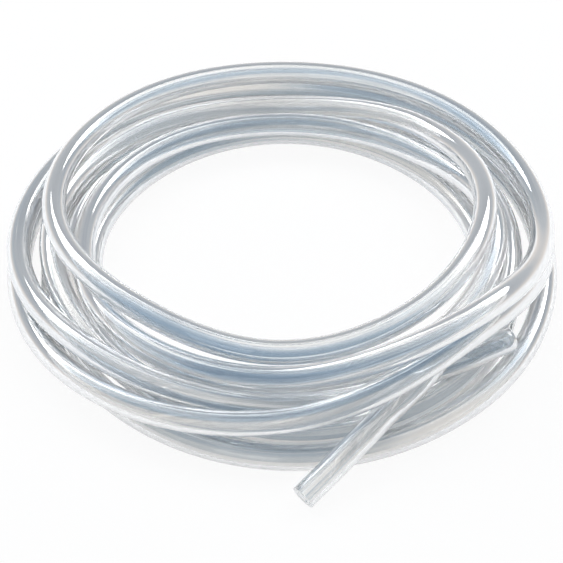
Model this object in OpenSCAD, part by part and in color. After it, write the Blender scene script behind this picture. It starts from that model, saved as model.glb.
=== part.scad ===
// Coil of clear silicone laboratory tubing, lying flat.
// One length of hollow tube is wound eight times round an open middle, and both of its
// cut ends are left free.  Z is up and the coil's axis stands along it.  The lowest
// turns lie on z = 0, and the origin is the middle of the coil's footprint.

/* [Tube] */
// Outer diameter of the tube
tube_od = 9; // [7:0.1:12]
// Bore of the tube
tube_id = 5; // [2.5:0.1:6]

/* [Coil] */
// Radius of lane 0, the circle that every turn's lane is counted from
core_radius = 64.5; // [50:0.5:110]
// Clearance kept between neighbouring turns
turn_gap = 0.2; // [0.2:0.05:0.6]

/* [Cut ends] */
// Length of the straight round stretch at each cut end
end_length = 12; // [6:1:12]

/* [Fineness] */
// Sides of the swept tube's section
sides = 10; // [8:2:12]
// Rings for each eighth of a turn
ring_count = 4; // [3:1:5]

/* [Hidden] */

// One lane is one pitch of radius, and one level is one pitch of height.
pitch = tube_od + turn_gap;
// The swept surface stays this far inside the wall of the round ends that it joins.
skin = 0.05;
// Corner radii of the swept section: its outside is drawn inside the round outside of
// the tube, and its bore is drawn round the round bore.
outer_corner = tube_od / 2 - skin;
bore_corner = (tube_id / 2 + skin) / cos(180 / sides);
// Depth to which a round end reaches over the swept tube.
end_lap = 1;
$fn = 96;

// The way the turns lie, one row for each turn and one [lane, level] for each eighth
// of a turn, starting at +X and going round through +Y.
turns = [
    // climbs off the near tail, drops to the floor at the back and stays low in front
    [[2.27, 1.08], [2.2, 0.75], [2.2, 0.05], [1.88, 0.35], [1.65, 0.8], [1.7, 0.12], [1.6, 0], [1.4, 0]],
    // along the floor as the innermost turn, then up over the first one in front
    [[1.3, 0], [1.2, 0], [1.2, 0], [0.9, 0], [0.83, 0], [0.68, 0.35], [0.9, 1], [1.25, 1.2]],
    // second layer of the inner stack, thrown outward over everything at the front right
    [[1.65, 1.86], [1, 1.1], [0.65, 0.95], [0.75, 1.17], [0.95, 1.52], [1.6, 1.9], [1.87, 2.12], [3.2, 3.84]],
    // top turn round the back, which falls in to the middle at the left
    [[3.5, 2.15], [3.3, 2], [2.95, 2], [2.75, 2.3], [2.15, 2.67], [0.9, 2.75], [0.5, 2.15], [0.6, 2.5]],
    // crosses outward over the inner stack and goes down to the floor in front
    [[1.2, 2.92], [1.6, 2], [1.7, 1.06], [1.98, 1.35], [2.3, 1.6], [2.35, 0.9], [2.85, 0.1], [2.85, 0]],
    // floor turn between the inner stack and the outermost turn
    [[2.35, 0], [3, 0], [3.2, 0], [2.97, 0], [2.35, 0], [3.1, 0], [3.9, 0], [3.9, 0]],
    // outermost floor turn, which climbs at the left to the front hump
    [[3.8, 0], [4.05, 0], [4.22, 0], [4.05, 0], [3.75, 0], [3.8, 0.75], [3.45, 1.5], [3.12, 2.73]],
    // second layer over the outermost turn, ending in the far tail
    [[3.62, 1.15], [3.45, 1], [3.2, 1], [3.5, 1.04], [3.7, 1.06], [3.05, 1.72], [2.3, 1.1]]
];

// The near tail, from the root of its straight end inward: [degrees, lane, level].
// It comes off the floor, passes over the outer turns and under the front hump.
near_tail = [
    [-82, 5.16, 0.42], [-78, 4.62, 0.75], [-74.5, 4.2, 0.98], [-69, 3.5, 1.04], [-63.5, 3.06, 1.13],
    [-59, 2.89, 1.42], [-54, 2.67, 1.7], [-48, 2.42, 1.95], [-42, 2.28, 1.94], [-35, 2.42, 1.56],
    [-25, 2.5, 1.15], [-13, 2.38, 1.1]
];

// The far tail, from the last turn outward, resting on the floor turns.
far_tail = [[293, 2.17, 0.79], [304, 2.12, 0.73], [310, 2.28, 0.86], [316, 2.7, 1], [321, 3, 1]];

// All stations in one list, with the angle counted on from turn to turn.
stations = concat(
    near_tail,
    [for (t = [0 : len(turns) - 1])
        for (s = [0 : len(turns[t]) - 1])
            [360 * t + 45 * s, turns[t][s][0], turns[t][s][1]]],
    [for (s = far_tail) [360 * (len(turns) - 1) + s[0], s[1], s[2]]]
);
last_station = len(stations) - 1;

// Catmull-Rom curve between the stations b and c, with a and d on their far sides.
function blend(a, b, c, d, t) =
    b + t * (c - a) / 2
    + t * t * (2 * a - 5 * b + 4 * c - d) / 2
    + t * t * t * (3 * b - 3 * c + d - a) / 2;
function station(i) =
    i < 0 ? 2 * stations[0] - stations[1] :
    i > last_station ? 2 * stations[last_station] - stations[last_station - 1] :
    stations[i];

// Rings between two stations, which in the turns come at the same angles in each turn.
function steps(i) = max(2, round(ring_count * (station(i + 1)[0] - station(i)[0]) / 45));

// Point in space of [degrees, lane, level], never lower than the floor lets a tube lie.
function place(s) =
    let (r = core_radius + s[1] * pitch)
    [r * cos(s[0]), r * sin(s[0]), outer_corner + max(0, s[2]) * pitch];

// Centre line of the swept tube.
route = concat(
    [for (i = [0 : last_station - 1]) for (k = [0 : steps(i) - 1])
        place(blend(station(i - 1), station(i), station(i + 1), station(i + 2), k / steps(i)))],
    [place(stations[last_station])]
);
last = len(route) - 1;

function unit(v) = v / norm(v);
function tangent(i) = unit(route[min(i + 1, last)] - route[max(i - 1, 0)]);
function across(i) = unit(cross([0, 0, 1], tangent(i)));

// One ring of the section at a point of the route, with the given corner radius.
function ring(i, radius) =
    let (s = across(i), u = cross(tangent(i), s))
    [for (k = [0 : sides - 1])
        let (a = 90 + 360 * k / sides)
        route[i] + radius * (cos(a) * s + sin(a) * u)];

outer_points = [for (i = [0 : last]) each ring(i, outer_corner)];
bore_points = [for (i = [0 : last]) each ring(i, bore_corner)];
bore_start = len(outer_points);

// Corner k of ring i, on the outside or in the bore.
function outer_at(i, k) = i * sides + k % sides;
function bore_at(i, k) = bore_start + outer_at(i, k);

// Mouths of the two straight ends, each with the way out of it.
mouths = [
    [route[0] - end_length * tangent(0), -tangent(0)],
    [route[last] + end_length * tangent(last), tangent(last)]
];

// Middle of the footprint along X or Y, which becomes the origin.  A round mouth reaches
// to each side of its centre by its radius times the sine of its slant to that axis.
function mouth_reach(m, axis) = tube_od / 2 * sqrt(1 - m[1][axis] * m[1][axis]);
function lows(axis) = concat(
    [for (p = outer_points) p[axis]],
    [for (m = mouths) m[0][axis] - mouth_reach(m, axis)]
);
function highs(axis) = concat(
    [for (p = outer_points) p[axis]],
    [for (m = mouths) m[0][axis] + mouth_reach(m, axis)]
);
function middle(axis) = (min(lows(axis)) + max(highs(axis))) / 2;

// The tube swept along the whole route, hollow from end to end.
module swept_tube() {
    walls = [for (i = [0 : last - 1]) for (k = [0 : sides - 1]) each [
        [outer_at(i, k), outer_at(i + 1, k + 1), outer_at(i, k + 1)],
        [outer_at(i, k), outer_at(i + 1, k), outer_at(i + 1, k + 1)],
        [bore_at(i, k), bore_at(i, k + 1), bore_at(i + 1, k + 1)],
        [bore_at(i, k), bore_at(i + 1, k + 1), bore_at(i + 1, k)]
    ]];
    rims = [for (k = [0 : sides - 1]) each [
        [outer_at(0, k), bore_at(0, k + 1), bore_at(0, k)],
        [outer_at(0, k), outer_at(0, k + 1), bore_at(0, k + 1)],
        [outer_at(last, k), bore_at(last, k + 1), outer_at(last, k + 1)],
        [outer_at(last, k), bore_at(last, k), bore_at(last, k + 1)]
    ]];
    polyhedron(points = concat(outer_points, bore_points), faces = concat(walls, rims), convexity = 20);
}

// A straight round end of the tube, cut square at its mouth, given as [centre, way out].
module round_end(mouth) {
    way = mouth[1];
    length = end_length + end_lap;
    translate(mouth[0])
        rotate([0, acos(way[2]), atan2(way[1], way[0])])
            translate([0, 0, -length])
                difference() {
                    cylinder(d = tube_od, h = length);
                    translate([0, 0, -1])
                        cylinder(d = tube_id, h = length + 2);
                }
}

// The whole length of tubing, one piece.
module tubing() {
    color([0.86, 0.9, 0.92, 0.6])
        translate([-middle(0), -middle(1), 0]) {
            swept_tube();
            for (mouth = mouths) round_end(mouth);
        }
}

tubing();
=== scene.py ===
"""Coil of clear silicone tubing on a white table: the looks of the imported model."""

import math

import bpy
import numpy as np
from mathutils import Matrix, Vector


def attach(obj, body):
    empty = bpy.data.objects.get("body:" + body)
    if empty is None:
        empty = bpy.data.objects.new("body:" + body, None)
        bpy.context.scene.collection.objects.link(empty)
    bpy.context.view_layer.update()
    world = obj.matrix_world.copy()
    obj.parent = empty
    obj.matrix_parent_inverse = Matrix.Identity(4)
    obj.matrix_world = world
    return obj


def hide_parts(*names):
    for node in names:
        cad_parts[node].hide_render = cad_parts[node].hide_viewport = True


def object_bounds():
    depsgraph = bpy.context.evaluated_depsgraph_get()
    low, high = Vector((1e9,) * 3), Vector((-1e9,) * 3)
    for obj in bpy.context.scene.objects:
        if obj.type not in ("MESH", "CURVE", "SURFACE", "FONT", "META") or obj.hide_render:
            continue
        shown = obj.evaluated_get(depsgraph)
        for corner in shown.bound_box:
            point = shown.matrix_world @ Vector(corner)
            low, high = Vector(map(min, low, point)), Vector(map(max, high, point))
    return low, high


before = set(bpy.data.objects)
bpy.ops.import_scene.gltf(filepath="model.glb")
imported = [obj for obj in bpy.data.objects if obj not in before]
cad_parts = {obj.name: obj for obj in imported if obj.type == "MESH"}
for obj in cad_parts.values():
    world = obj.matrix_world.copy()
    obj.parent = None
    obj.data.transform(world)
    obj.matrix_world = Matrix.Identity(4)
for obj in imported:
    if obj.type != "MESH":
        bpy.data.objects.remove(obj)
cad_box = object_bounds()

# ---------------------------------------------------------------- sizes, in metres

TUBE_OD = 0.009
TUBE_ID = 0.005
CORE_RADIUS = 0.0645
TURN_GAP = 0.0002
END_LENGTH = 0.012
PITCH = TUBE_OD + TURN_GAP

# The way the tube lies, as in the part's source: one row for each turn and one
# (lane, level) for each eighth of a turn, in pitches from lane 0 and from the floor.
TURNS = [
    [(2.27, 1.08), (2.2, 0.75), (2.2, 0.05), (1.88, 0.35), (1.65, 0.8), (1.7, 0.12), (1.6, 0), (1.4, 0)],
    [(1.3, 0), (1.2, 0), (1.2, 0), (0.9, 0), (0.83, 0), (0.68, 0.35), (0.9, 1), (1.25, 1.2)],
    [(1.65, 1.86), (1, 1.1), (0.65, 0.95), (0.75, 1.17), (0.95, 1.52), (1.6, 1.9), (1.87, 2.12), (3.2, 3.84)],
    [(3.5, 2.15), (3.3, 2), (2.95, 2), (2.75, 2.3), (2.15, 2.67), (0.9, 2.75), (0.5, 2.15), (0.6, 2.5)],
    [(1.2, 2.92), (1.6, 2), (1.7, 1.06), (1.98, 1.35), (2.3, 1.6), (2.35, 0.9), (2.85, 0.1), (2.85, 0)],
    [(2.35, 0), (3, 0), (3.2, 0), (2.97, 0), (2.35, 0), (3.1, 0), (3.9, 0), (3.9, 0)],
    [(3.8, 0), (4.05, 0), (4.22, 0), (4.05, 0), (3.75, 0), (3.8, 0.75), (3.45, 1.5), (3.12, 2.73)],
    [(3.62, 1.15), (3.45, 1), (3.2, 1), (3.5, 1.04), (3.7, 1.06), (3.05, 1.72), (2.3, 1.1)],
]
# The two tails, as (degrees, lane, level).
NEAR_TAIL = [
    (-82, 5.16, 0.42), (-78, 4.62, 0.75), (-74.5, 4.2, 0.98), (-69, 3.5, 1.04), (-63.5, 3.06, 1.13),
    (-59, 2.89, 1.42), (-54, 2.67, 1.7), (-48, 2.42, 1.95), (-42, 2.28, 1.94), (-35, 2.42, 1.56),
    (-25, 2.5, 1.15), (-13, 2.38, 1.1),
]
FAR_TAIL = [(293, 2.17, 0.79), (304, 2.12, 0.73), (310, 2.28, 0.86), (316, 2.7, 1), (321, 3, 1)]

DEGREES_PER_RING = 3
SIDES = 40
CUT_EDGE = 0.00012  # how far the cut's rims are rounded over
# Share of the table's and of the world's look that is plain white background, for each
# kind of ray.
TABLE_WHITE = {"Is Camera Ray": 0.92, "Is Glossy Ray": 0.5, "Is Transmission Ray": 0.5}
WORLD_WHITE = {"Is Camera Ray": 1.0, "Is Glossy Ray": 0.15, "Is Transmission Ray": 0.45}


# ---------------------------------------------------------------- the tube's route

def blend(a, b, c, d, t):
    """Catmull-Rom curve from b to c."""
    return (
        b
        + t * (c - a) / 2
        + t * t * (2 * a - 5 * b + 4 * c - d) / 2
        + t ** 3 * (3 * b - 3 * c + d - a) / 2
    )


def place(station):
    """Point in space of (degrees, lane, level)."""
    angle = math.radians(station[0])
    radius = CORE_RADIUS + station[1] * PITCH
    height = TUBE_OD / 2 + max(0.0, station[2]) * PITCH
    return np.array([radius * math.cos(angle), radius * math.sin(angle), height])


def straight_end(root, before):
    """Points of the straight stretch that goes on from root, away from before."""
    way = (root - before) / np.linalg.norm(root - before)
    return [root + way * END_LENGTH * share for share in (0.25, 0.5, 0.75, 1)]


def tube_route():
    """Centre line from the near mouth to the far one, about the coil's own axis."""
    stations = [np.array(s) for s in NEAR_TAIL]
    for turn, row in enumerate(TURNS):
        stations += [np.array((360 * turn + 45 * eighth, *spot)) for eighth, spot in enumerate(row)]
    stations += [np.array((360 * (len(TURNS) - 1) + s[0], s[1], s[2])) for s in FAR_TAIL]
    line = [2 * stations[0] - stations[1], *stations, 2 * stations[-1] - stations[-2]]
    points = []
    for a, b, c, d in zip(line, line[1:], line[2:], line[3:]):
        count = max(2, round((c[0] - b[0]) / DEGREES_PER_RING))
        points += [place(blend(a, b, c, d, k / count)) for k in range(count)]
    points.append(place(stations[-1]))
    near_end = straight_end(points[0], points[1])
    far_end = straight_end(points[-1], points[-2])
    return np.array(near_end[::-1] + points + far_end)


# ---------------------------------------------------------------- the tube

def tube_mesh(name, route):
    """A hollow tube along route, cut square, with UVs of its length in tube widths and its turn.

    Its section goes round in hoops: along the bore, over the far cut, back along the
    outside and over the near cut.
    """
    ways = np.gradient(route, axis=0)
    ways /= np.linalg.norm(ways, axis=1)[:, None]
    across = np.cross([0.0, 0.0, 1.0], ways)
    across /= np.linalg.norm(across, axis=1)[:, None]
    up = np.cross(ways, across)
    along = np.concatenate([[0.0], np.cumsum(np.linalg.norm(np.diff(route, axis=0), axis=1))])

    last = len(route) - 1
    bore, outside = TUBE_ID / 2, TUBE_OD / 2
    inset = {0: CUT_EDGE, last: -CUT_EDGE}
    there = [(i, inset.get(i, 0.0), bore) for i in range(last + 1)]
    far_cut = [(last, 0.0, bore + CUT_EDGE), (last, 0.0, outside - CUT_EDGE)]
    back = [(i, inset.get(i, 0.0), outside) for i in range(last, -1, -1)]
    near_cut = [(0, 0.0, outside - CUT_EDGE), (0, 0.0, bore + CUT_EDGE)]
    hoops = there + far_cut + back + near_cut

    angles = 2 * np.pi * np.arange(SIDES) / SIDES
    cosines = np.cos(angles)[:, None]
    sines = np.sin(angles)[:, None]
    vertices = np.concatenate([
        route[i] + shift * ways[i] + radius * (cosines * across[i] + sines * up[i])
        for i, shift, radius in hoops
    ])
    faces, slots, spots = [], [], []
    for h in range(len(hoops)):
        n = (h + 1) % len(hoops)
        u0, u1 = along[hoops[h][0]] / TUBE_OD, along[hoops[n][0]] / TUBE_OD
        is_cut = hoops[h][0] == hoops[n][0]
        for k in range(SIDES):
            j = (k + 1) % SIDES
            slots.append(1 if is_cut else 0)
            faces.append((h * SIDES + k, h * SIDES + j, n * SIDES + j, n * SIDES + k))
            v0, v1 = k / SIDES, (k + 1) / SIDES
            spots += [(u0, v0), (u0, v1), (u1, v1), (u1, v0)]
    mesh = bpy.data.meshes.new(name)
    mesh.from_pydata(vertices.tolist(), [], faces)
    mesh.uv_layers.new(name="tube").data.foreach_set("uv", np.array(spots, dtype=np.float32).ravel())
    mesh.polygons.foreach_set("material_index", slots)
    mesh.polygons.foreach_set("use_smooth", [True] * len(faces))
    mesh.update()
    return mesh


def footprint_middle(route):
    """Middle of the tube's footprint, which the part has as its origin."""
    ways = np.gradient(route, axis=0)
    ways /= np.linalg.norm(ways, axis=1)[:, None]
    reach = TUBE_OD / 2 * np.sqrt(1 - ways ** 2)
    middle = ((route - reach).min(axis=0) + (route + reach).max(axis=0)) / 2
    return np.array([middle[0], middle[1], 0])


# ---------------------------------------------------------------- materials

SILICONE_IOR = 1.41


def node(tree, kind, **values):
    """A new node with its properties and, where a name is a socket's, its input values."""
    made = tree.nodes.new(kind)
    for key, value in values.items():
        if key in made.inputs:
            made.inputs[key].default_value = value
        else:
            setattr(made, key, value)
    return made


def along_tube(tree, length_scale, turn_scale):
    """The tube's own coordinates: so many units along its length, and so many round it."""
    tube_uv = node(tree, "ShaderNodeUVMap", uv_map="tube")
    stretch = node(tree, "ShaderNodeVectorMath", operation="MULTIPLY")
    stretch.inputs[1].default_value = (length_scale, turn_scale, 1)
    tree.links.new(tube_uv.outputs["UV"], stretch.inputs[0])
    return stretch.outputs["Vector"]


def let_light_through(material, share):
    """Shadow rays pass the material by this share, as light passes a clear tube."""
    tree = material.node_tree
    output = tree.nodes["Material Output"]
    surface = output.inputs["Surface"].links[0].from_socket
    path = node(tree, "ShaderNodeLightPath")
    amount = node(tree, "ShaderNodeMath", operation="MULTIPLY")
    amount.inputs[1].default_value = share
    clear = node(tree, "ShaderNodeBsdfTransparent")
    mix = node(tree, "ShaderNodeMixShader")
    tree.links.new(path.outputs["Is Shadow Ray"], amount.inputs[0])
    tree.links.new(amount.outputs["Value"], mix.inputs["Fac"])
    tree.links.new(surface, mix.inputs[1])
    tree.links.new(clear.outputs["BSDF"], mix.inputs[2])
    tree.links.new(mix.outputs["Shader"], output.inputs["Surface"])


def silicone():
    """Clear silicone rubber, a little milky, with faint lengthwise relief lines from its die. Its base colour
    goes in random patches and lengthwise streaks between blue-grey and near-white, which are painted shade
    and painted highlights over the rubber's own milky white.
    """
    material = bpy.data.materials.new("clear_silicone")
    material.use_nodes = True
    tree = material.node_tree
    shader = tree.nodes["Principled BSDF"]
    shader.inputs["Transmission Weight"].default_value = 0.84
    shader.inputs["IOR"].default_value = SILICONE_IOR

    lines = node(tree, "ShaderNodeTexNoise", Scale=1.0, Detail=2.0, Roughness=0.5)
    tree.links.new(along_tube(tree, 0.006, 12), lines.inputs["Vector"])
    # Painted shade and painted highlights: broad random patches of blue-grey and white along the tube.
    painted_shade_bands = node(tree, "ShaderNodeTexNoise", Scale=1.0, Detail=1.0, Roughness=0.4)
    tree.links.new(along_tube(tree, 0.07, 3), painted_shade_bands.inputs["Vector"])
    milk_and_painted_shade = node(tree, "ShaderNodeMix", data_type="FLOAT", Factor=0.6)
    tree.links.new(lines.outputs["Fac"], milk_and_painted_shade.inputs["A"])
    tree.links.new(painted_shade_bands.outputs["Fac"], milk_and_painted_shade.inputs["B"])
    # Base colour from blue-grey painted shade to near-white milky rubber, with white streaks as painted
    # highlights.
    tint = node(tree, "ShaderNodeValToRGB")
    tint.color_ramp.elements[0].position = 0.42
    tint.color_ramp.elements[0].color = (0.56, 0.645, 0.72, 1)
    tint.color_ramp.elements[1].position = 0.52
    tint.color_ramp.elements[1].color = (1.0, 0.985, 0.965, 1)
    tree.links.new(milk_and_painted_shade.outputs["Result"], tint.inputs["Fac"])
    tree.links.new(tint.outputs["Color"], shader.inputs["Base Color"])

    bloom = node(tree, "ShaderNodeTexNoise", Scale=1.0, Detail=2.0)
    tree.links.new(along_tube(tree, 0.25, 3), bloom.inputs["Vector"])
    dull = node(tree, "ShaderNodeMapRange")
    dull.inputs["To Min"].default_value = 0.012
    dull.inputs["To Max"].default_value = 0.05
    tree.links.new(bloom.outputs["Fac"], dull.inputs["Value"])
    tree.links.new(dull.outputs["Result"], shader.inputs["Roughness"])

    relief = node(tree, "ShaderNodeBump", Strength=0.05, Distance=0.0001)
    tree.links.new(lines.outputs["Fac"], relief.inputs["Height"])
    tree.links.new(relief.outputs["Normal"], shader.inputs["Normal"])
    let_light_through(material, 0.65)
    return material


def cut_silicone():
    """The cut faces, where the knife left the rubber whiter and duller."""
    material = bpy.data.materials.new("cut_silicone")
    material.use_nodes = True
    tree = material.node_tree
    shader = tree.nodes["Principled BSDF"]
    shader.inputs["Transmission Weight"].default_value = 0.1
    shader.inputs["IOR"].default_value = SILICONE_IOR
    shader.inputs["Roughness"].default_value = 0.35
    marks = node(tree, "ShaderNodeTexNoise", Scale=900.0, Detail=3.0)
    tint = node(tree, "ShaderNodeValToRGB")
    tint.color_ramp.elements[0].color = (0.93, 0.93, 0.92, 1)
    tint.color_ramp.elements[1].color = (1.0, 1.0, 0.99, 1)
    tree.links.new(marks.outputs["Fac"], tint.inputs["Fac"])
    tree.links.new(tint.outputs["Color"], shader.inputs["Base Color"])
    let_light_through(material, 0.6)
    return material


def white_share(tree, shares):
    """How much of a look is plain white background to the ray that meets it."""
    path = node(tree, "ShaderNodeLightPath")
    share = None
    for ray, amount in shares.items():
        part = node(tree, "ShaderNodeMath", operation="MULTIPLY")
        part.inputs[1].default_value = amount
        tree.links.new(path.outputs[ray], part.inputs[0])
        if share:
            most = node(tree, "ShaderNodeMath", operation="MAXIMUM")
            tree.links.new(share, most.inputs[0])
            tree.links.new(part.outputs["Value"], most.inputs[1])
            share = most.outputs["Value"]
        else:
            share = part.outputs["Value"]
    return share


def floor_material():
    """White table: a share of it shows as plain white background, the rest takes the shadow."""
    material = bpy.data.materials.new("white_table")
    material.use_nodes = True
    tree = material.node_tree
    shader = tree.nodes["Principled BSDF"]
    shader.inputs["Base Color"].default_value = (1, 1, 1, 1)
    shader.inputs["Roughness"].default_value = 0.8
    shader.inputs["Specular IOR Level"].default_value = 0.0
    white = node(tree, "ShaderNodeEmission", Strength=1.0)
    mix = node(tree, "ShaderNodeMixShader")
    tree.links.new(white_share(tree, TABLE_WHITE), mix.inputs["Fac"])
    tree.links.new(shader.outputs["BSDF"], mix.inputs[1])
    tree.links.new(white.outputs["Emission"], mix.inputs[2])
    tree.links.new(mix.outputs["Shader"], tree.nodes["Material Output"].inputs["Surface"])
    return material


# ---------------------------------------------------------------- camera

VIEW_UP = math.radians(43)
DISTANCE = 0.791
LENS, SENSOR = 133, 36  # in millimetres
AIM_BELOW = 0.0051  # the camera looks this far below the coil's centre, as it sees it


def add_camera(centre):
    """A long lens that looks down on the coil's centre from the front."""
    back = Vector((0, -math.cos(VIEW_UP), math.sin(VIEW_UP)))
    up = Vector((0, math.sin(VIEW_UP), math.cos(VIEW_UP)))
    data = bpy.data.cameras.new("camera")
    data.lens = LENS
    data.sensor_width = SENSOR
    camera = bpy.data.objects.new("camera", data)
    camera.location = centre + DISTANCE * back
    aim = centre - AIM_BELOW * up
    camera.rotation_euler = (aim - camera.location).to_track_quat("-Z", "Y").to_euler()
    bpy.context.scene.collection.objects.link(camera)
    bpy.context.scene.camera = camera


# ---------------------------------------------------------------- objects and light

def add_tube(route):
    """The tube itself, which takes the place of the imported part's plain one."""
    tube = bpy.data.objects.new("silicone_tube", tube_mesh("silicone_tube", route))
    bpy.context.scene.collection.objects.link(tube)
    tube.data.materials.append(silicone())
    tube.data.materials.append(cut_silicone())
    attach(tube, "root")
    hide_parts("tubing")
    return tube


HALF_TABLE = 4.0
TABLE_GAP = 0.0001  # how far the table lies below the tube, so that the two don't touch


def add_floor():
    """A wide white table under the coil, which belongs to the stage and not to the part."""
    half = HALF_TABLE
    corners = [(-half, -half, 0), (half, -half, 0), (half, half, 0), (-half, half, 0)]
    mesh = bpy.data.meshes.new("table")
    mesh.from_pydata(corners, [], [(0, 1, 2, 3)])
    table = bpy.data.objects.new("table", mesh)
    table.location.z = cad_box[0][2] - TABLE_GAP
    mesh.materials.append(floor_material())
    bpy.context.scene.collection.objects.link(table)


WORLD_BANDS = [  # (sine of the height, colour)
    (0.08, (0.66, 0.60, 0.55)),
    (0.3, (0.29, 0.325, 0.36)),
]


def add_world():
    """A pale studio: cool grey-blue overhead, and white low down, where the background is."""
    world = bpy.data.worlds.new("studio")
    bpy.context.scene.world = world
    world.use_nodes = True
    tree = world.node_tree
    background = tree.nodes["Background"]
    background.inputs["Strength"].default_value = 1.0
    way = node(tree, "ShaderNodeTexCoord")
    part = node(tree, "ShaderNodeSeparateXYZ")
    ramp = node(tree, "ShaderNodeValToRGB")
    ramp.color_ramp.elements[0].position = 0.0
    ramp.color_ramp.elements[0].color = (1, 1, 1, 1)
    ramp.color_ramp.elements[1].position = 1.0
    ramp.color_ramp.elements[1].color = (0.08, 0.11, 0.15, 1)
    for height, colour in WORLD_BANDS:
        stop = ramp.color_ramp.elements.new(height)
        stop.color = (*colour, 1)
    tree.links.new(way.outputs["Generated"], part.inputs["Vector"])
    tree.links.new(part.outputs["Z"], ramp.inputs["Fac"])
    seen = node(tree, "ShaderNodeMix", data_type="RGBA")
    seen.inputs["B"].default_value = (1, 1, 1, 1)
    tree.links.new(white_share(tree, WORLD_WHITE), seen.inputs["Factor"])
    tree.links.new(ramp.outputs["Color"], seen.inputs["A"])
    tree.links.new(seen.outputs["Result"], background.inputs["Color"])


LAMPS = {  # name: (place, size, power in watts)
    "left_softbox": ((-0.55, 0.5, 1.05), 0.95, 8),
    "right_softbox": ((0.55, 0.5, 1.05), 0.95, 8),
    "front_fill": ((-0.35, -1.0, 0.6), 0.5, 1.5),
}


def add_lamps():
    """Two big softboxes behind the coil and a small fill in front, all aimed at its middle."""
    for name, (spot, size, power) in LAMPS.items():
        data = bpy.data.lights.new(name, "AREA")
        data.size = size
        data.energy = power
        lamp = bpy.data.objects.new(name, data)
        lamp.location = spot
        lamp.rotation_euler = (-Vector(spot)).to_track_quat("-Z", "Y").to_euler()
        bpy.context.scene.collection.objects.link(lamp)


route = tube_route()
middle = footprint_middle(route)
add_camera(Vector(-middle))
add_tube(route - middle)
add_floor()
add_world()
add_lamps()
bpy.context.scene.view_settings.view_transform = "Standard"
